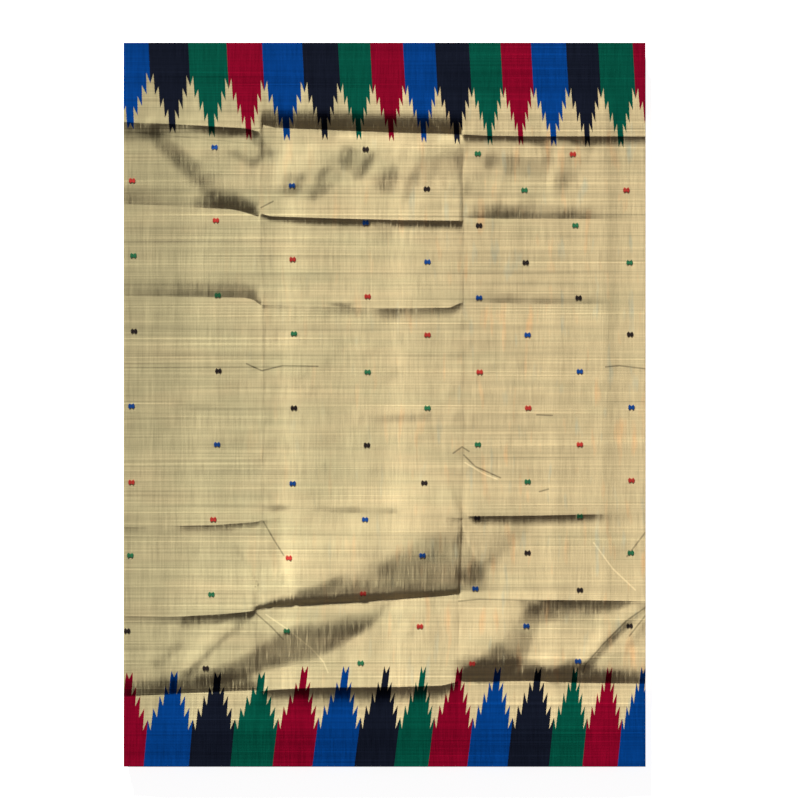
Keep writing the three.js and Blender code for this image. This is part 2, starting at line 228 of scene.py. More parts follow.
# Soft folds, each a round crest through its points, in mm: x, y, rise, reach of the upper and of the lower
# slope. The first six swell above the troughs. Then come the large folds that slant across the panels, the
# small ones of the crumpled panels below the upper border, fine slanting ones near the lower border, short
# swells in the field, and last the long waves of the two borders.
SOFT_FOLDS = [
    [(-192, 472, 1.4, 90, 30), (-100, 468, 2.2, 90, 32), (25, 464, 2.2, 90, 32), (118, 461, 1.6, 90, 30)],
    [
        (-415, 347, 0.6, 70, 26), (-350, 342, 0.2, 70, 26), (-304, 342, 0.2, 70, 26),
        (-250, 336, 1.4, 70, 26), (-212, 328, 1.2, 60, 24),
    ],
    [(150, 318, 0.3, 60, 20), (190, 320, 0.6, 60, 22), (240, 318, 0.2, 60, 20), (300, 318, 0.5, 60, 20)],
    [(-415, 196, 0.4, 60, 24), (-294, 196, 0.7, 60, 25), (-212, 192, 0.7, 60, 25)],
    [
        (-415, -438, 0.6, 70, 24), (-321, -433, 0.8, 70, 24), (-240, -430, 0.6, 70, 24),
        (-206, -430, 0.5, 60, 22),
    ],
    [
        (128, -414, 1.0, 60, 24), (238, -412, 1.2, 70, 26), (305, -418, 1.2, 70, 24),
        (415, -421, 1.0, 70, 24),
    ],
    [
        (118, -183, 7.4, 120, 128), (-40, -252, 6.6, 110, 66), (-122, -284, 4.4, 80, 38),
        (-205, -320, 0.6, 40, 9),
    ],
    [(140, -178, 2.4, 90, 118), (174, -178, 1.9, 90, 84), (222, -178, 0.4, 80, 34)],
    [(186, -206, 0.3, 40, 16), (164, -230, 0.9, 40, 22), (126, -262, 0.9, 40, 28)],
    [
        (0, -311, 1.2, 70, 12), (-27, -321, 3.6, 110, 34), (-66, -327, 5.8, 150, 54),
        (-101, -333, 6.8, 180, 68), (-135, -338, 7.2, 190, 76), (-163, -352, 6.8, 190, 68),
        (-185, -370, 6.0, 180, 58), (-206, -384, 4.6, 150, 44), (-235, -402, 3.2, 90, 36),
        (-290, -424, 1.6, 60, 24),
    ],
    [
        (230, -316, 2.6, 60, 24), (204, -342, 6.0, 66, 50), (176, -372, 7.6, 70, 60),
        (152, -400, 5.8, 60, 48), (132, -428, 1.2, 50, 16),
    ],
    [
        (-366, 444, 2.0, 44, 24), (-328, 416, 3.8, 50, 30), (-298, 388, 4.0, 50, 32),
        (-286, 366, 2.8, 44, 26), (-278, 344, 0.9, 30, 16),
    ],
    [(-198, 432, 1.8, 6, 26), (-180, 412, 1.4, 8, 26)],
    [(-160, 378, 3.2, 40, 50), (-140, 374, 3.2, 40, 48)],
    [(-120, 386, 3.4, 40, 62), (-100, 378, 4.0, 40, 66), (-84, 366, 2.0, 30, 52)],
    [(-86, 356, 1.1, 12, 34), (-70, 354, 1.1, 12, 32)],
    [(-66, 416, 3.2, 18, 38), (-42, 412, 4.0, 20, 50), (-26, 404, 3.4, 24, 60)],
    [(-10, 404, 4.8, 26, 70), (8, 404, 5.2, 26, 74)],
    [(26, 400, 3.0, 26, 50), (42, 398, 2.6, 26, 50)],
    [(20, 352, 2.0, 46, 34), (34, 350, 2.0, 46, 34)],
    [(58, 400, 3.2, 28, 58), (74, 398, 3.2, 28, 58)],
    [(94, 410, 4.0, 20, 68), (114, 408, 4.8, 20, 88)],
    [(-236, 410, 1.2, 20, 20), (-210, 392, 1.2, 20, 16)],
    [(150, 404, 0.8, 20, 24), (184, 404, 1.5, 20, 40), (232, 398, 1.4, 20, 40)],
    [(262, 404, 1.2, 20, 70), (292, 402, 1.2, 20, 70)],
    [(-14, 282, 0.9, 12, 30), (6, 280, 0.9, 12, 30)],
    [(-322, -342, 0.7, 14, 14), (-334, -372, 1.2, 18, 20), (-362, -402, 0.8, 22, 18)],
    [
        (-222, -340, 0.3, 14, 8), (-262, -368, 1.2, 18, 11), (-292, -396, 1.6, 18, 13),
        (-312, -420, 1.2, 16, 11),
    ],
    [(414, -321, 1.4, 20, 8), (384, -342, 2.2, 22, 10), (348, -378, 2.4, 22, 11), (319, -411, 2.0, 18, 11)],
    [(414, -338, 1.6, 16, 12), (392, -364, 1.4, 16, 12), (372, -400, 0.4, 16, 10)],
    [(300, -396, 1.6, 40, 26), (262, -424, 2.0, 40, 30)],
    [(-12, -18, 0.3, 20, 10), (66, -13, 0.5, 20, 10)],
    [(-330, 8, 0.2, 20, 12), (-286, 2, 0.6, 16, 12), (-262, 2, 0.2, 16, 12)],
    [(-80, 164, 0.7, 10, 8), (-58, 162, 0.6, 10, 8)],
    [(-86, -161, 0.6, 30, 14), (-46, -159, 1.5, 30, 15), (-20, -162, 1.0, 26, 14), (14, -160, 1.5, 30, 15)],
    [(-186, -160, 0.3, 14, 10), (-168, -158, 1.0, 14, 10), (-150, -160, 0.3, 14, 10)],
    [
        (-340, 542, 0.6, 20, 40), (-150, 545, 2.0, 20, 44), (30, 540, 1.4, 20, 40), (180, 544, 2.0, 20, 44),
        (330, 540, 0.8, 20, 40),
    ],
    [
        (-400, -524, 1.0, 50, 46), (-120, -528, 2.0, 50, 46), (90, -524, 1.4, 50, 46),
        (300, -528, 1.8, 50, 46),
    ],
]
END_REACH = 16  # how far a soft fold runs on beyond its last points, in mm

# Soft crumpled places: middle x and y, half width and half height in mm, rise, and how much longer than
# wide the waves are.
CRUMPLES = [
    (-40, 376, 170, 62, 1.3, 2.6),
    (230, 372, 150, 60, 1.3, 2.6),
    (-100, -240, 100, 60, 0.3, 1),
    (30, -380, 110, 60, 0.4, 1),
    (330, -370, 90, 60, 0.5, 1),
    (0, 0, 420, 560, 0.16, 1),
]
CRUMPLE_FADE = 1.3  # a crumpled place has faded out at this many times its half size
ROUNDING = 0.14  # how round a soft fold's crest is, as a share of its lower reach
CREASE_BEND = {"dark": 1.75, "light": 1.35}  # how much steeper each slope of a crease is at its line


def crease_height(offset, rise, dark, light):
    """A sharp crest or trough; offset is above zero on the side that the light comes from."""
    dark_side = (offset > 0) == (rise < 0)
    share = np.minimum(np.abs(offset) / np.where(dark_side, dark, light), 1)
    return rise * (1 - share) ** np.where(dark_side, CREASE_BEND["dark"], CREASE_BEND["light"])


def fold_height(x, y, points):
    """A round crest with an even lower slope. Where its lengths overlap, the higher one counts."""
    height = np.zeros(x.shape)
    for (x0, y0, *start), (x1, y1, *end) in zip(points, points[1:]):
        dx, dy = x1 - x0, y1 - y0
        length = math.hypot(dx, dy)
        along = ((x - x0) * dx + (y - y0) * dy) / length
        offset = ((y - y0) * dx - (x - x0) * dy) / length * math.copysign(1, dx)
        past = along - np.clip(along, 0, length)
        share = np.clip(along / length, 0, 1)
        rise, upper, lower = (a + (b - a) * share for a, b in zip(start, end))
        reach = np.where(offset > 0, upper, lower)
        away = np.minimum(np.hypot(offset / reach, past / np.minimum(reach, END_REACH)), 1)
        even = (math.hypot(1, ROUNDING) - np.hypot(away, ROUNDING)) / (math.hypot(1, ROUNDING) - ROUNDING)
        profile = np.where(offset > 0, (1 - away**2) ** 2, even * (1 - away**8))
        height = np.maximum(height, rise * profile)
    return height


CRUMPLE_LENGTHS = (20, 70)  # the shortest and the longest wave, in mm
crumple_random = np.random.default_rng(11)
CRUMPLE_WAVES = [
    (wavelength, *crumple_random.uniform(0, 2 * math.pi, 2))
    for wavelength in crumple_random.uniform(*CRUMPLE_LENGTHS, 26)
]


def crumple(x, y):
    """Soft uneven waves between -1 and 1, of no set direction."""
    total = sum(
        np.sin(2 * math.pi / wavelength * (x * math.cos(turn) + y * math.sin(turn)) + start)
        for wavelength, turn, start in CRUMPLE_WAVES
    )
    return total / math.sqrt(2 * len(CRUMPLE_WAVES))


def line_values(points, places):
    """The other numbers of a crease's points, at places along it."""
    along, *numbers = np.array(points, dtype=float).T
    return [np.interp(places, along, number) for number in numbers]


def top_rise(x_m, y_m):
    """How far the top layer stands above where it would lie lowest. Places and heights are in metres."""
    x, y = np.asarray(x_m) / MM, np.asarray(y_m) / MM
    height = np.zeros(x.shape)
    for crease in CROSS_CREASES:
        line, *numbers = line_values(crease, x)
        height += crease_height(y - line, *numbers)
    for crease in LONG_CREASES:
        line, *numbers = line_values(crease, y)
        height += crease_height(line - x, *numbers)
    for fold in SOFT_FOLDS:
        height += fold_height(x, y, fold)
    for middle_x, middle_y, half_x, half_y, rise, stretch in CRUMPLES:
        distance = np.hypot((x - middle_x) / half_x, (y - middle_y) / half_y)
        height += rise * crumple(x, y / stretch) * np.clip(CRUMPLE_FADE - distance, 0, 1)
    lie = LIE / MM
    for inwards, side in ((half_width - np.abs(y_m), "selvedge"), (half_length - np.abs(x_m), "end")):
        near = np.cos(np.clip(inwards / EDGE_BAND[side], 0, 1) * math.pi / 2)
        height *= 1 - (1 - EDGE_SHARE[side]) * near
        lie = lie - EDGE_FALL / MM / 2 * near
    height += lie
    # A trough that would reach below the stack flattens out there instead.
    return MM * (height + np.sqrt(height**2 + FLAT_SOFTNESS**2)) / 2


def top_height(x, y):
    return stack_top + TOP_LIFT + top_rise(x, y)


# Rows and columns of the net crowd at the creases, so that each crest is a line of edges.
CREASE_STEPS = np.array([0.8, 2, 3.6, 5.5, 8, 11, 14.5, 19, 24, 30, 37]) * MM
CREASE_OFFSETS = np.concatenate([CREASE_STEPS[::-1], [0], -CREASE_STEPS])
LONG_STEPS = np.array([1, 3, 6, 10, 15, 21]) * MM
LONG_OFFSETS = np.concatenate([-LONG_STEPS[::-1], [0], LONG_STEPS])
ROW_STEP, COLUMN_STEP = 6.4 * MM, 6.4 * MM
SELVEDGE_STEPS = (0, 0.5 * MM, 1.4 * MM)
ROLL_STEPS = 7
ROLLS = {"left": 1.15 * MM, "right": 0.85 * MM}  # radius of the fold at each end
TUCK = 11 * MM  # how far the cloth runs on under itself there
TUCK_STEPS = TUCK * np.array([0.35, 1])
PANEL_WIDTHS = (198, 277, 268)  # between the long creases' nets, from left to right, in mm
COLUMN_COUNTS = [round(width * MM / COLUMN_STEP) for width in PANEL_WIDTHS]


def between(start, end, step):
    """Even places strictly between two places, about a step apart."""
    count = max(2, round(abs(end - start) / step))
    return np.linspace(start, end, count + 1)[1:-1]


def crease_line(crease, place):
    """Where a crease runs: y at an x for a cross crease, x at a y for a long one."""
    return line_values(crease, place / MM)[0] * MM


def column_places(y):
    """x of each column of the flat part at one y."""
    first, last = -half_length + ROLLS["left"], half_length - ROLLS["right"]
    left, right = (crease_line(crease, y) for crease in LONG_CREASES)
    reach = LONG_OFFSETS[-1]
    spans = [(first, left - reach), (left + reach, right - reach), (right + reach, last)]
    fill = [np.linspace(*span, count + 1) for span, count in zip(spans, COLUMN_COUNTS)]
    return np.concatenate([
        fill[0][:-1], left + LONG_OFFSETS, fill[1][1:-1], right + LONG_OFFSETS, fill[2][1:],
    ])


def row_functions():
    """For each row from the upper selvedge down, a function that gives its y at each x."""
    lines = [lambda x, y=half_width - inset: np.full_like(x, y) for inset in SELVEDGE_STEPS]
    bounds = [crease_line(crease, 0.0) for crease in CROSS_CREASES]
    previous, previous_y = lines[-1], half_width - SELVEDGE_STEPS[-1]
    for crease, middle in zip(CROSS_CREASES, bounds):
        first = lambda x, c=crease: crease_line(c, x) + CREASE_OFFSETS[0]
        gap = previous_y - (middle + CREASE_OFFSETS[0])
        count = max(2, round(gap / ROW_STEP))
        for i in range(1, count):
            lines.append(lambda x, a=previous, b=first, t=i / count: a(x) + (b(x) - a(x)) * t)
        for offset in CREASE_OFFSETS:
            lines.append(lambda x, c=crease, o=offset: crease_line(c, x) + o)
        previous, previous_y = lines[-1], middle + CREASE_OFFSETS[-1]
    count = round((previous_y + half_width) / ROW_STEP)
    for i in range(1, count):
        lines.append(lambda x, a=previous, t=i / count: a(x) + (-half_width - a(x)) * t)
    lines += [lambda x, y=inset - half_width: np.full_like(x, y) for inset in SELVEDGE_STEPS[::-1]]
    return lines


def top_net():
    """Places of the top layer's net, a row for each y and a column for each x, and the place of each point
    in the woven cloth before it was folded."""
    places, woven = [], []
    for line in row_functions():
        x = column_places(float(line(np.zeros(1))[0]))
        y = line(x)
        z = top_height(x, y)
        row, cloth = [np.column_stack([x, y, z])], [np.column_stack([x, y])]
        for side, end in ((-1, 0), (1, -1)):
            radius = ROLLS["left" if side < 0 else "right"]
            turns = np.linspace(0, math.pi, ROLL_STEPS + 1)[1:]
            roll_x = x[end] + side * radius * np.sin(turns)
            roll_z = z[end] - radius + radius * np.cos(turns)
            roll_x = np.append(roll_x, x[end] - side * TUCK_STEPS)
            roll_z = np.append(roll_z, [roll_z[-1]] * len(TUCK_STEPS))
            arc = np.append(radius * turns, radius * math.pi + TUCK_STEPS)
            part = np.column_stack([roll_x, np.full_like(roll_x, y[end]), roll_z])
            part_cloth = np.column_stack([x[end] + side * arc, np.full_like(arc, y[end])])
            if side < 0:
                row.insert(0, part[::-1])
                cloth.insert(0, part_cloth[::-1])
            else:
                row.append(part)
                cloth.append(part_cloth)
        places.append(np.concatenate(row))
        woven.append(np.concatenate(cloth))
    return np.array(places), np.array(woven)


def cloth_object(name, places, uv_maps, finish, thickness=CLOTH):
    """A sheet through a net of places, as thick as the cloth, with one UV map for each name."""
    rows, columns = places.shape[:2]
    bm = bmesh.new()
    bmesh.ops.create_grid(bm, x_segments=columns - 1, y_segments=rows - 1, size=1)
    order = np.zeros(len(bm.verts), dtype=int)
    for vert in bm.verts:
        column = round((vert.co.x + 1) / 2 * (columns - 1))
        row = round((1 - vert.co.y) / 2 * (rows - 1))
        order[vert.index] = row * columns + column
        vert.co = places[row, column]
    for face in bm.faces:
        face.smooth = True
    sheet = object_from(bm, name, finish)
    corners = np.zeros(len(sheet.data.loops), dtype=int)
    sheet.data.loops.foreach_get("vertex_index", corners)
    for map_name, values in uv_maps.items():
        layer = sheet.data.uv_layers.new(name=map_name)
        flat = values.reshape(-1, 2)[order][corners]
        layer.data.foreach_set("uv", flat.ravel().astype(np.float32))
    wall = sheet.modifiers.new("cloth thickness", "SOLIDIFY")
    wall.thickness = thickness
    wall.offset = 0
    return sheet


# The borders: where each colour block starts along the selvedge, in mm, how far it leans for each mm
# inwards, and how far its spire's tip and the notches beside it lie from the selvedge. Each lean, tip and
# notch comes after its x.
BORDERS = {
    "upper": dict(
        starts=[-445, -375, -312, -251, -195, -131, -74, -23, 29, 80, 134, 184, 232, 288, 339, 394, 449],
        lean=[(-415, 0.05), (415, 0.055)],
        tips=[
            (-415, 136), (-343, 143), (-281, 149), (-205, 156), (-60, 154), (30, 157), (123, 162),
            (415, 167),
        ],
        notches=[(-415, 45), (-195, 60), (123, 71), (415, 72)],
        first_colour=0,
    ),
    "lower": dict(
        starts=[-455, -383, -311, -245, -178, -115, -48, 15, 69, 131, 195, 261, 314, 370, 423],
        lean=[
            (-415, 0.095), (-280, 0.085), (-205, 0.11), (-120, 0.13), (120, 0.125), (163, 0.11),
            (415, 0.095),
        ],
        tips=[(-415, 149), (-340, 152), (-195, 150), (-130, 160), (123, 159), (415, 158)],
        notches=[(-415, 57), (-195, 60), (123, 61), (415, 59)],
        first_colour=3,
    ),
}
BLOCK_PITCH = 60  # width of a block beyond the listed ones, in mm


def border_map(woven):
    """For each point of the cloth, which colour block it is in, as a number that grows along the cloth, and
    how far from its spire's tip, 0, towards the notches, 1."""
    x, y = woven[..., 0] / MM, woven[..., 1] / MM
    result = np.zeros(woven.shape)
    for name, border in BORDERS.items():
        depth = half_width / MM - (y if name == "upper" else -y)
        lean, tip, notch = (line_values(border[key], x)[0] for key in ("lean", "tips", "notches"))
        start = x - lean * depth
        starts = np.array(border["starts"], dtype=float)
        block = np.interp(start, starts, np.arange(len(starts)))
        beyond = np.minimum(start - starts[0], 0) + np.maximum(start - starts[-1], 0)
        block += beyond / BLOCK_PITCH
        side = y > 0 if name == "upper" else y <= 0
        result[side, 0] = (block + border["first_colour"])[side]
        result[side, 1] = ((tip - depth) / (tip - notch))[side]
    return result


# ---- Silk finishes ----
# Hand-reeled tussar: a plain weave whose threads change in thickness, so long pale and dark streaks run
# along the cloth and finer ones across it. The borders are the same silk dyed blue, black, green and red.
def node(tree, kind, inputs=None, **settings):
    """A new node with its settings, and its inputs as values or as sockets to link."""
    new = tree.nodes.new(kind)
    for key, value in settings.items():
        setattr(new, key, value)
    put_in(tree, new.inputs, inputs or {})
    return new


def calculate(tree, operation, a, b=0.0, c=None):
    inputs = {0: a, 1: b} if c is None else {0: a, 1: b, 2: c}
    return node(tree, "ShaderNodeMath", inputs, operation=operation).outputs[0]


def ranged(tree, value, low, high, start=0.0, end=1.0):
    """A value between low and high as one between start and end, held there beyond them."""
    return node(tree, "ShaderNodeMapRange", {0: value, 1: low, 2: high, 3: start, 4: end}).outputs[0]


def split_up(tree, vector):
    return node(tree, "ShaderNodeSeparateXYZ", {0: vector}).outputs


def vector_of(tree, x, y, z):
    return node(tree, "ShaderNodeCombineXYZ", {0: x, 1: y, 2: z}).outputs[0]


def blend(tree, share, first, second):
    return node(tree, "ShaderNodeMix", {0: share, 6: first, 7: second}, data_type="RGBA").outputs[2]


def ramp_through(tree, place, stops, interpolation="LINEAR"):
    """A ramp through stops, each a place from 0 to 1 and its colour."""
    ramp = node(tree, "ShaderNodeValToRGB", {"Fac": place})
    ramp.color_ramp.interpolation = interpolation
    elements = ramp.color_ramp.elements
    while len(elements) < len(stops):
        elements.new(0.5)
    for element, (position, colour) in zip(elements, stops):
        element.position = position
        element.color = colour
    return ramp.outputs["Color"]


def linear(red, green, blue):
    """A colour given as it looks on a screen, 0 to 255, as the shader's own numbers."""
    shades = [shade / 255 for shade in (red, green, blue)]
    return (*[s / 12.92 if s <= 0.04045 else ((s + 0.055) / 1.055) ** 2.4 for s in shades], 1)


NUMBER, VECTOR, COLOUR = "NodeSocketFloat", "NodeSocketVector", "NodeSocketColor"


def group_with(name, inputs, outputs):
    tree = bpy.data.node_groups.new(name, "ShaderNodeTree")
    for label, kind in inputs.items():
        tree.interface.new_socket(label, in_out="INPUT", socket_type=kind)
    for label, kind in outputs.items():
        tree.interface.new_socket(label, in_out="OUTPUT", socket_type=kind)
    return tree, tree.nodes.new("NodeGroupInput").outputs, tree.nodes.new("NodeGroupOutput").inputs


def placed(tree, group, inputs):
    """A shader group set into a material or another group."""
    return node(tree, "ShaderNodeGroup", inputs, node_tree=group).outputs


def streaks(tree, place, along, across, detail=2.0):
    """Noise drawn out into streaks: along and across are how many there are to the metre."""
    drawn = node(tree, "ShaderNodeVectorMath", {0: place, 1: (along, across, 1)}, operation="MULTIPLY")
    noise = node(tree, "ShaderNodeTexNoise", {"Vector": drawn.outputs[0], "Scale": 1, "Detail": detail})
    return calculate(tree, "SUBTRACT", noise.outputs["Fac"], 0.5)


THREAD_PITCH = {"X": 0.9 * MM, "Y": 0.8 * MM}  # of the fine ripple of warp and weft


def make_weave_group():
    """Streaks of the weave, in brightness around 0, how far each cross thread tips, how unevenly the
    threads lie on a slope, and the threads' height."""
    labels = ("Streak", "Tint", "Stain", "Tilt", "Uneven", "Height")
    tree, inlet, outlet = group_with("tussar_weave", {"Cloth": VECTOR}, dict.fromkeys(labels, NUMBER))
    cloth = inlet["Cloth"]
    long_threads = streaks(tree, cloth, 2.5, 330)
    cross_threads = streaks(tree, cloth, 330, 6)
    long_bands = streaks(tree, cloth, 1, 70)
    cross_bands = streaks(tree, cloth, 60, 0.7)
    slubs = streaks(tree, cloth, 2, 300, 0.0)
    thick = ranged(tree, slubs, 0.17, 0.25)
    thin = ranged(tree, slubs, -0.17, -0.27)
    total = calculate(tree, "MULTIPLY", long_threads, 1.1)
    shares = [(cross_threads, 0.45), (long_bands, 0.8), (cross_bands, 0.5), (thick, 0.34), (thin, -0.34)]
    for part, share in shares:
        total = calculate(tree, "MULTIPLY_ADD", part, share, total)
    flecks = ranged(tree, streaks(tree, cloth, 330, 44, 0.0), 0.18, 0.28, 0.0, -0.9)
    uneven = calculate(tree, "MULTIPLY_ADD", streaks(tree, cloth, 330, 20, 3.0), 2.2, flecks)
    height = calculate(tree, "MULTIPLY_ADD", cross_threads, 0.6, long_threads)
    height = calculate(tree, "MULTIPLY_ADD", thick, 0.4, height)
    split = split_up(tree, cloth)
    warp, weft = (
        calculate(tree, "SINE", calculate(tree, "MULTIPLY", split[axis], 2 * math.pi / pitch))
        for axis, pitch in THREAD_PITCH.items()
    )
    height = calculate(tree, "MULTIPLY_ADD", calculate(tree, "MULTIPLY", warp, weft), 0.12, height)
    put_in(tree, outlet, {
        "Streak": total,
        "Tint": streaks(tree, cloth, 7, 22),
        "Stain": streaks(tree, cloth, 55, 11),
        "Tilt": streaks(tree, cloth, 400, 24, 3.0),
        "Uneven": uneven,
        "Height": height,
    })
    return tree


# Half of a spire, from its middle, 0, to the next block, 1, and how far each point lies from the tip, as a
# share of the way to the notch. Each step ends in a small barb.
SPIRE = [
    (0, 0.104), (0.125, 0.0), (0.14, 0.0), (0.166, 0.13), (0.17, 0.395), (0.353, 0.242), (0.385, 0.583),
    (0.568, 0.41), (0.605, 0.776), (0.803, 0.62), (0.828, 1.0), (1, 0.818),
]
BLOCK_COLOURS = {
    "blue": linear(0, 62, 134),
    "black": linear(18, 23, 37),
    "green": linear(0, 82, 64),
    "red": linear(138, 2, 37),
}


# In blocks and in depths of a spire: how uneven a block's side is, how soft the edge of a spire is, how far
# beyond the tips the line of weft runs, and how far beside that it starts and is full.
BLOCK_JITTER = 0.035
SPIRE_EDGE = (-0.006, 0.006)
LINE_DEPTH = 0.05
LINE_REACH = (0.018, 0.004)


def make_border_group():
    """1 where the border lies and 0 in the field, the colour of its block, and 1 on the line of weft beyond
    the spires."""
    tree, inlet, outlet = group_with(
        "temple_border",
        {"Place": VECTOR, "Cloth": VECTOR},
        {"Border": NUMBER, "Colour": COLOUR, "Line": NUMBER},
    )
    split = split_up(tree, inlet["Place"])
    jitter = calculate(tree, "MULTIPLY", streaks(tree, inlet["Cloth"], 0, 900, 0.0), BLOCK_JITTER)
    block = calculate(tree, "ADD", split["X"], jitter)
    share = calculate(tree, "FRACT", block)
    out = calculate(tree, "ABSOLUTE", calculate(tree, "MULTIPLY_ADD", share, 2.0, -1.0))
    spire = ramp_through(tree, out, [(place, (depth, depth, depth, 1)) for place, depth in SPIRE])
    edge = calculate(tree, "SUBTRACT", split["Y"], spire)
    turn = 1 / len(BLOCK_COLOURS)
    colours = [(i * turn, colour) for i, colour in enumerate(BLOCK_COLOURS.values())]
    turn = calculate(tree, "MULTIPLY_ADD", calculate(tree, "FLOOR", block), turn, turn / 2)
    colour = ramp_through(tree, calculate(tree, "FRACT", turn), colours, "CONSTANT")
    line = calculate(tree, "ABSOLUTE", calculate(tree, "ADD", split["Y"], LINE_DEPTH))
    put_in(tree, outlet, {
        "Border": ranged(tree, edge, *SPIRE_EDGE),
        "Colour": colour,
        "Line": ranged(tree, line, *LINE_REACH),
    })
    return tree


# The handloom's bands: where each lies along the cloth, in mm, and how much paler the silk is there.
BANDS = [
    (-415, -0.08), (-330, 0.0), (-300, 0.2), (-235, 0.1), (-208, 0.2), (-180, 0.2), (-150, 0.46),
    (-124, 0.25), (-76, 0.18), (-50, 0.3), (-8, 0.22), (18, 0.42), (44, 0.34), (72, 0.16), (100, 0.26),
    (146, 0.1), (186, 0.2), (220, 0.12), (262, 0.3), (284, 0.12), (343, 0.28), (357, 0.05), (382, 0.22),
    (415, 0.34),
]
BAND_RANGE = (-0.1, 0.5)
BAND_WANDER = 14 * MM  # how far a band strays from its place
# Painted light: the silk is painted paler towards the lower selvedge, in place of the cloth lying more in
# the light there.
PAINTED_PALER_BELOW = -0.16  # how much paler the silk is for each metre up the cloth
WARM_FROM, WARM_TO = -0.3, 0.2  # the silk turns warmer from the first place to the second, in metres


def make_bands_and_painted_light_group():
    """How much paler the silk is in each band of the weft, and more so towards the lower selvedge, where
    the extra paleness is painted light.
    """
    tree, inlet, outlet = group_with("weft_bands", {"Cloth": VECTOR}, {"Band_and_painted_light": NUMBER, "Warmth": NUMBER})
    split = split_up(tree, inlet["Cloth"])
    wander = calculate(tree, "MULTIPLY", streaks(tree, inlet["Cloth"], 8, 5), BAND_WANDER)
    along = calculate(tree, "ADD", split["X"], wander)
    first, last = BANDS[0][0], BANDS[-1][0]
    low, high = BAND_RANGE
    stops = [((x - first) / (last - first), (*[(paler - low) / (high - low)] * 3, 1)) for x, paler in BANDS]
    shades = ramp_through(tree, ranged(tree, along, first * MM, last * MM), stops)
    band = ranged(tree, shades, 0.0, 1.0, low, high)
    put_in(tree, outlet, {
        # The Y term is painted light, paler towards the lower selvedge.
        "Band_and_painted_light": calculate(tree, "MULTIPLY_ADD", split["Y"], PAINTED_PALER_BELOW, band),
        "Warmth": ranged(tree, along, WARM_FROM, WARM_TO),
    })
    return tree


THREAD_TILT = 0.22  # how much the threads' uneven lie tips them
SLOPE_GAIN = {"towards": 0.4, "away": 2.0}  # a slope's tilt in the shading, seen from the upper selvedge


def make_slope_group():
    """The normal of threads that lie unevenly where the silk slopes away from the upper selvedge, so that
    such a slope is streaky and looks deeper than one towards it."""
    tree, inlet, outlet = group_with(
        "thread_slope",
        {"Normal": VECTOR, "Tilt": NUMBER, "Uneven": NUMBER},
        {"Normal": VECTOR},
    )
    split = split_up(tree, inlet["Normal"])
    towards = calculate(tree, "MAXIMUM", split["Y"], 0.0)
    towards = calculate(tree, "MULTIPLY", towards, SLOPE_GAIN["towards"])
    gain = calculate(tree, "ADD", inlet["Uneven"], SLOPE_GAIN["away"])
    away = calculate(tree, "MULTIPLY", calculate(tree, "MINIMUM", split["Y"], 0.0), gain)
    slope = calculate(tree, "ADD", towards, away)
    lean = calculate(tree, "MULTIPLY_ADD", inlet["Tilt"], THREAD_TILT, slope)
    tipped = vector_of(tree, split["X"], lean, split["Z"])
    tipped = node(tree, "ShaderNodeVectorMath", {0: tipped}, operation="NORMALIZE").outputs[0]
    tree.links.new(tipped, outlet["Normal"])
    return tree


weave_group = make_weave_group()
border_group = make_border_group()
bands_and_painted_light_group = make_bands_and_painted_light_group()
slope_group = make_slope_group()
BEIGE = linear(191, 178, 134)
BEIGE_WARM = linear(202, 182, 137)
STAINS = [(linear(222, 176, 122), 0.1, 0.34), (linear(168, 174, 150), -0.12, -0.36)]  # peach and grey


def brightened(tree, colour, amount):
    """The colour made brighter or darker by a share of itself."""
    factor = calculate(tree, "ADD", amount, 1.0)
    source = colour if isinstance(colour, bpy.types.NodeSocket) else colour[:3]
    scaled = node(tree, "ShaderNodeVectorMath", {0: source, "Scale": factor}, operation="SCALE")
    return scaled.outputs[0]


# Sharp creases finer than the net, each through its points, in mm. They are painted into the colour only:
# the dark ones as painted shade along the crease, the pale ones as a painted highlight.
FINE_CREASES_PAINTED = {
    "dark": [
        [(-204, -331), (-180, -352), (-161, -372)], [(-192, -186), (-176, -214), (-160, -239)],
        [(414, -322), (384, -343), (348, -379), (319, -412), (315, -424)], [(414, -335), (389, -367)],
        [(414, -203), (385, -241)], [(118, -312), (150, -309), (283, -311)],
        [(-219, 65), (-195, 54), (-162, 62), (-106, 61)], [(351, 60), (373, 62), (415, 57)],
        [(109, -77), (123, -67), (134, -74)], [(126, -80), (144, -98), (184, -116)],
        [(242, -16), (266, -17)], [(246, -138), (260, -134)], [(-196, 313), (-177, 323)],
    ],
    "pale": [
        [(-188, -333), (-154, -356), (-117, -386), (-97, -408), (-90, -425)],
        [(332, -219), (362, -260), (398, -294)], [(-202, -318), (-188, -324)],
        [(128, -92), (158, -110), (178, -118)],
    ],
}


def make_fine_crease_group():
    """Place holds x, y and the distance to the nearest crease so far; it comes out with the distance to one
    more straight length taken in."""
    vectors = {"Place": VECTOR, "Start": VECTOR, "Length": VECTOR}
    tree, inlet, outlet = group_with("fine_crease", vectors, {"Place": VECTOR})
    vector = "ShaderNodeVectorMath"
    here = node(tree, vector, {0: inlet["Place"], 1: inlet["Start"]}, operation="SUBTRACT").outputs[0]
    here = node(tree, vector, {0: here, 1: (1, 1, 0)}, operation="MULTIPLY").outputs[0]
    length = inlet["Length"]
    along = node(tree, vector, {0: here, 1: length}, operation="DOT_PRODUCT").outputs["Value"]
    whole = node(tree, vector, {0: length, 1: length}, operation="DOT_PRODUCT").outputs["Value"]
    share = ranged(tree, along, 0.0, whole)
    foot = node(tree, vector, {0: length, "Scale": share}, operation="SCALE").outputs[0]
    away = node(tree, vector, {0: here, 1: foot}, operation="DISTANCE").outputs["Value"]
    split = split_up(tree, inlet["Place"])
    nearest = calculate(tree, "MINIMUM", away, split["Z"])
    tree.links.new(vector_of(tree, split["X"], split["Y"], nearest), outlet["Place"])
    return tree


fine_crease_group = make_fine_crease_group()


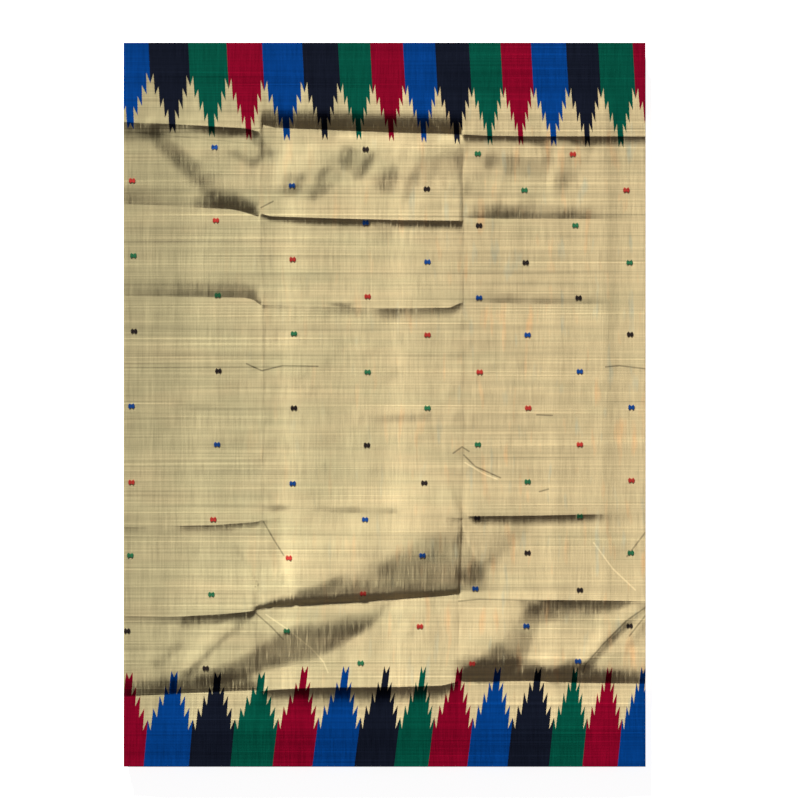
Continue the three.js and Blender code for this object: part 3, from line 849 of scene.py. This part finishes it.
def nearest_crease(tree, cloth, creases):
    """The distance to the nearest of some creases."""
    split = split_up(tree, cloth)
    place = vector_of(tree, split["X"], split["Y"], 1.0)
    for points in creases:
        for (x0, y0), (x1, y1) in zip(points, points[1:]):
            length = {
                "Place": place,
                "Start": (x0 * MM, y0 * MM, 0),
                "Length": ((x1 - x0) * MM, (y1 - y0) * MM, 0),
            }
            place = placed(tree, fine_crease_group, length)["Place"]
    return split_up(tree, place)["Z"]


# How much of itself the silk gains or loses in brightness in a streak, in the line of weft beyond the
# spires and in a fine crease, where the loss is painted shade and the gain a painted highlight. Such a
# crease starts to show at the first reach from its line and is full at the second.
STREAK_SHADE = {"field": 0.62, "border": 0.5, "spots": 0.8}
LINE_SHADE = -0.16
FINE_CREASE_PAINTED_SHADING = {"dark": -0.62, "pale": 0.42}
PAINTED_CREASE_REACH = (1.9 * MM, 0.4 * MM)
ROUGHNESS = {"even": 0.62, "streak": 0.25}
THREAD_BUMP = {"strength": 0.3, "height": 0.5 * MM, "spot height": 0.3 * MM}


def bumped(tree, distance, **inputs):
    bump = {"Strength": THREAD_BUMP["strength"], "Distance": distance, **inputs}
    return node(tree, "ShaderNodeBump", bump).outputs["Normal"]


def make_cloth_finish(name, painted_creases=None):
    finish, tree, shader = new_finish(name)
    cloth = node(tree, "ShaderNodeUVMap", uv_map="cloth").outputs[0]
    place = node(tree, "ShaderNodeUVMap", uv_map="border").outputs[0]
    weave = placed(tree, weave_group, {"Cloth": cloth})
    border = placed(tree, border_group, {"Place": place, "Cloth": cloth})
    band = placed(tree, bands_and_painted_light_group, {"Cloth": cloth})
    warmth = calculate(tree, "ADD", band["Warmth"], 0.05)
    warmth = calculate(tree, "MULTIPLY_ADD", weave["Tint"], 2.2, warmth)
    beige = blend(tree, ranged(tree, warmth, 0.0, 1.0), BEIGE, BEIGE_WARM)
    for colour, low, high in STAINS:
        stain = calculate(tree, "MULTIPLY", ranged(tree, weave["Stain"], low, high), band["Warmth"])
        beige = blend(tree, stain, beige, colour)
    # The band's brightness includes painted light, paler towards the lower selvedge.
    shade = calculate(tree, "MULTIPLY_ADD", weave["Streak"], STREAK_SHADE["field"], band["Band_and_painted_light"])
    shade = calculate(tree, "MULTIPLY_ADD", border["Line"], LINE_SHADE, shade)
    # Fine creases: painted shade along the dark ones, a painted highlight along the pale ones.
    for kind, creases in (painted_creases or {}).items():
        line = ranged(tree, nearest_crease(tree, cloth, creases), *PAINTED_CREASE_REACH)
        shade = calculate(tree, "MULTIPLY_ADD", line, FINE_CREASE_PAINTED_SHADING[kind], shade)
    field = brightened(tree, beige, shade)
    streak = calculate(tree, "MULTIPLY", weave["Streak"], STREAK_SHADE["border"])
    blocks = brightened(tree, border["Colour"], streak)
    rough = calculate(tree, "MULTIPLY_ADD", weave["Streak"], ROUGHNESS["streak"], ROUGHNESS["even"])
    outwards = node(tree, "ShaderNodeNewGeometry").outputs["Normal"]
    lie = {"Normal": outwards, "Tilt": weave["Tilt"], "Uneven": weave["Uneven"]}
    slope = placed(tree, slope_group, lie)
    put_in(tree, shader.inputs, {
        "Base Color": blend(tree, border["Border"], field, blocks),
        "Roughness": rough,
        "Normal": bumped(tree, THREAD_BUMP["height"], Height=weave["Height"], Normal=slope["Normal"]),
        "Metallic": 0.08,
        "Specular IOR Level": 0.04,
    })
    return finish


silk_cloth = make_cloth_finish("tussar_silk")
# The top layer's finish also holds the painted shade and highlight of the fine creases.
top_silk = make_cloth_finish("tussar_silk_painted_creases", FINE_CREASES_PAINTED)
top_places, top_woven = top_net()
top_layer = cloth_object(
    "top_layer", top_places, {"cloth": top_woven, "border": border_map(top_woven)}, top_silk,
)
top_nodes = [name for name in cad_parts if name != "folded_layers"]
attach(top_layer, "root")
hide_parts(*top_nodes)

# ---- Folded layers ----
# The rest of the same length, folded to and fro under the top layer: six more layers whose turns show at
# the left and right ends, and whose selvedges show one under the other along the borders.
LAYER_PITCH = 1.9 * MM
LAYER_INSETS = [
    dict(left=4.6, right=3.4, upper=4.2, lower=3.6),
    dict(left=2.4, right=3.0, upper=2.6, lower=5.2),
    dict(left=2.8, right=1.6, upper=4.8, lower=2.8),
    dict(left=1.8, right=1.9, upper=3.2, lower=4.4),
    dict(left=1.9, right=3.9, upper=2.2, lower=2.6),
    dict(left=13.5, right=4.0, upper=3.4, lower=3.2),
]
HIDDEN_CLOTH = 0.5 * MM
LOWEST = 0.35 * MM  # the middle of the lowest layer over the floor
LAYER_RELIEF = 0.6  # share of the top layer's relief that shows in the uppermost hidden layer
LEAST_INSET = 0.9 * MM
END_STEPS = np.array([0, 3, 8, 16, 30, 60]) * MM
RIPPLE = {"rise": 0.25 * MM, "fineness": 1.7, "shift": 90}  # of each layer but the lowest; shift in mm
HIDDEN_STEP = 52 * MM  # between the columns of a hidden layer's middle
TURN_STEPS = 8
STACK_ROWS = 96


def layer_places(level, x, y):
    """Height of one hidden layer."""
    share = LAYER_RELIEF * (level / (len(LAYER_INSETS) - 1)) ** 1.5
    across, up = x / MM * RIPPLE["fineness"], y / MM * RIPPLE["fineness"]
    ripple = RIPPLE["rise"] * crumple(across + RIPPLE["shift"] * level, up) * min(level, 1)
    return LOWEST + level * LAYER_PITCH + share * top_rise(x, y) + ripple


def layer_line(level, v):
    """One hidden layer's row from left to right, v from -1 at the lower selvedge to 1 at the upper one."""
    insets = LAYER_INSETS[level]
    wander = 0.8 * MM * np.sin(7 * v + 2.1 * level) + 0.5 * MM * np.sin(17 * v + level)
    left = -half_length + insets["left"] * MM + wander * 0.7
    right = half_length - insets["right"] * MM + wander * 0.7
    left, right = max(left, -half_length + LEAST_INSET), min(right, half_length - LEAST_INSET)
    radius = LAYER_PITCH / 2
    ends = np.concatenate([left + radius + END_STEPS, right - radius - END_STEPS[::-1]])
    middle = between(ends[len(END_STEPS) - 1], ends[len(END_STEPS)], HIDDEN_STEP)
    x = np.insert(ends, len(END_STEPS), middle)
    edge_wave = 0.7 * MM * (np.sin(x / (61 * MM) + 1.9 * level) + np.sin(x / (23 * MM) + 3.1 * level)) / 2
    inset = insets["upper" if v > 0 else "lower"] * MM - edge_wave
    y = v * (half_width - inset)
    return x, y, layer_places(level, x, y), radius


def stack_row(v):
    """A row of the whole hidden length as it runs to and fro, and its places in the woven cloth."""
    points = []
    for level in range(len(LAYER_INSETS)):
        x, y, z, radius = layer_line(level, v)
        if level % 2:
            x, y, z = x[::-1], y[::-1], z[::-1]
        if points:
            x0, y0, z0 = points[-1][-1]
            side = 1 if level % 2 else -1
            turns = np.linspace(0, math.pi, TURN_STEPS + 1)[1:-1]
            share = (1 - np.cos(turns)) / 2
            bend = np.column_stack([
                x0 + (x[0] - x0) * share + side * radius * np.sin(turns),
                y0 + (y[0] - y0) * share,
                z0 + (z[0] - z0) * share,
            ])
            points.append(bend)
        points.append(np.column_stack([x, y, z]))
    row = np.concatenate(points)
    steps = np.hypot(np.diff(row[:, 0]), np.diff(row[:, 2]))
    travelled = np.concatenate([[0], np.cumsum(steps)])
    return row, np.column_stack([travelled, np.full(len(row), v * half_width)])


REST_PITCH = 58.7 * MM  # width of a border block in the hidden length; 14 of them reach from fold to fold
REST_START = {"upper": 0.5, "lower": 2.5}  # the block that each border starts in, and how far along it


def rest_border_map(woven):
    """The border's blocks go on at an even pitch along the hidden length."""
    folded = woven.copy()
    folded[..., 0] = np.mod(woven[..., 0], 8 * REST_PITCH) - 4 * REST_PITCH
    result = border_map(folded)
    start = np.where(woven[..., 1] > 0, REST_START["upper"], REST_START["lower"])
    result[..., 0] = woven[..., 0] / REST_PITCH + start
    return result


stack = [stack_row(v) for v in np.linspace(1, -1, STACK_ROWS)]
stack_places = np.array([row for row, _ in stack])
stack_woven = np.array([woven for _, woven in stack])
folded_layers = cloth_object(
    "folded_length",
    stack_places,
    {"cloth": stack_woven, "border": rest_border_map(stack_woven)},
    silk_cloth,
    thickness=HIDDEN_CLOTH,
)
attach(folded_layers, "root")
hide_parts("folded_layers")

# ---- Woven spots ----
# Small buttis laid in by hand with an extra weft, in paler shades of the border's four colours. Each is two
# round lobes side by side, and every row of it is one or two short floats, just proud of the cloth.
SPOT_CHART = (
    "..##.....##..",
    ".#####.#####.",
    "#############",
    ".###########.",
    "#############",
    ".#####.#####.",
    "..##.....##..",
)
SPOT_WIDTH, SPOT_HEIGHT = 10.4 * MM, 8 * MM
SPOT_SILK = {
    "red": linear(190, 58, 50),
    "green": linear(48, 116, 76),
    "black": linear(44, 36, 34),
    "blue": linear(24, 74, 144),
}
FLOAT_PROUD = 0.35 * MM  # how thick a float is, and how far its middle lies above the cloth's face
FLOAT_SHARE = 0.92  # how much of its row a float fills
FLOAT_STEP = 1 * MM  # a float longer than this is cut along its length, so that it bends with the cloth
FLOAT_CUTS = 3
# Each column of spots from left to right: its first colour, at the top, and x and y of its spots in mm.
SPOT_COLOURS = ("red", "green", "black", "blue")
SPOT_COLUMNS = [
    (0, [(-401, 356), (-399, 237), (-398, 117), (-402, -2), (-402, -123), (-404, -239), (-409, -359)]),
    (3, [
        (-270, 409), (-268, 293), (-265, 174), (-264, 54), (-266, -63), (-272, -182), (-275, -301),
        (-284, -418),
    ]),
    (3, [(-147, 348), (-146, 231), (-144, 113), (-144, -5), (-146, -125), (-152, -243), (-155, -359)]),
    (2, [(-30, 406), (-30, 289), (-27, 172), (-27, 52), (-28, -64), (-31, -182), (-34, -300), (-38, -410)]),
    (2, [(67, 343), (68, 227), (68, 111), (68, -5), (63, -124), (60, -239), (56, -352)]),
    (1, [(148, 399), (150, 285), (150, 170), (151, 52), (148, -63), (147, -180), (144, -292), (139, -411)]),
    (1, [(222, 341), (224, 226), (227, 111), (228, -5), (227, -122), (227, -235), (225, -351)]),
    (0, [(299, 398), (303, 285), (308, 170), (310, 53), (310, -63), (310, -177), (310, -294), (307, -407)]),
    (0, [(384, 341), (389, 226), (390, 112), (392, -4), (392, -120), (391, -235), (389, -351)]),
]


def spot_floats():
    """Each float of the chart: its middle and its length, in shares of the spot's width and height."""
    rows, columns = len(SPOT_CHART), len(SPOT_CHART[0])
    floats = []
    for row, line in enumerate(SPOT_CHART):
        start = None
        for column, mark in enumerate(line + "."):
            if mark == "#" and start is None:
                start = column
            if mark != "#" and start is not None:
                middle = ((start + column) / 2 / columns - 0.5, 0.5 - (row + 0.5) / rows)
                floats.append((*middle, (column - start) / columns))
                start = None
    return floats


def make_spot_finish(colour):
    finish, tree, shader = new_finish(f"spot_silk_{colour}")
    weave = placed(tree, weave_group, {"Cloth": node(tree, "ShaderNodeTexCoord").outputs["Object"]})
    streak = calculate(tree, "MULTIPLY", weave["Streak"], STREAK_SHADE["spots"])
    shade = brightened(tree, SPOT_SILK[colour], streak)
    put_in(tree, shader.inputs, {
        "Base Color": shade,
        "Roughness": 0.5,
        "Specular IOR Level": 0.12,
        "Normal": bumped(tree, THREAD_BUMP["spot height"], Height=weave["Height"]),
    })
    return finish


def make_spots(colour, middles):
    bm = bmesh.new()
    row_height = SPOT_HEIGHT / len(SPOT_CHART)
    for x, y in middles:
        for across, up, length in spot_floats():
            place = Matrix.Translation((x + across * SPOT_WIDTH, y + up * SPOT_HEIGHT, 0))
            size = Matrix.Diagonal((length * SPOT_WIDTH, row_height * FLOAT_SHARE, FLOAT_PROUD, 1))
            bmesh.ops.create_cube(bm, size=1, matrix=place @ size)
    long_edges = [e for e in bm.edges if abs(e.verts[0].co.x - e.verts[1].co.x) > FLOAT_STEP]
    bmesh.ops.subdivide_edges(bm, edges=long_edges, cuts=FLOAT_CUTS, use_grid_fill=True)
    heights = top_height(np.array([v.co.x for v in bm.verts]), np.array([v.co.y for v in bm.verts]))
    for vert, height in zip(bm.verts, heights):
        vert.co.z += height + CLOTH / 2 + FLOAT_PROUD
    spots = object_from(bm, f"spots_{colour}", make_spot_finish(colour))
    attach(spots, "root")
    return spots


spot_places = {colour: [] for colour in SPOT_COLOURS}
for first, column in SPOT_COLUMNS:
    for i, (x, y) in enumerate(column):
        spot_places[SPOT_COLOURS[(first + i) % len(SPOT_COLOURS)]].append((x * MM, y * MM))
spots = [make_spots(colour, middles) for colour, middles in spot_places.items()]
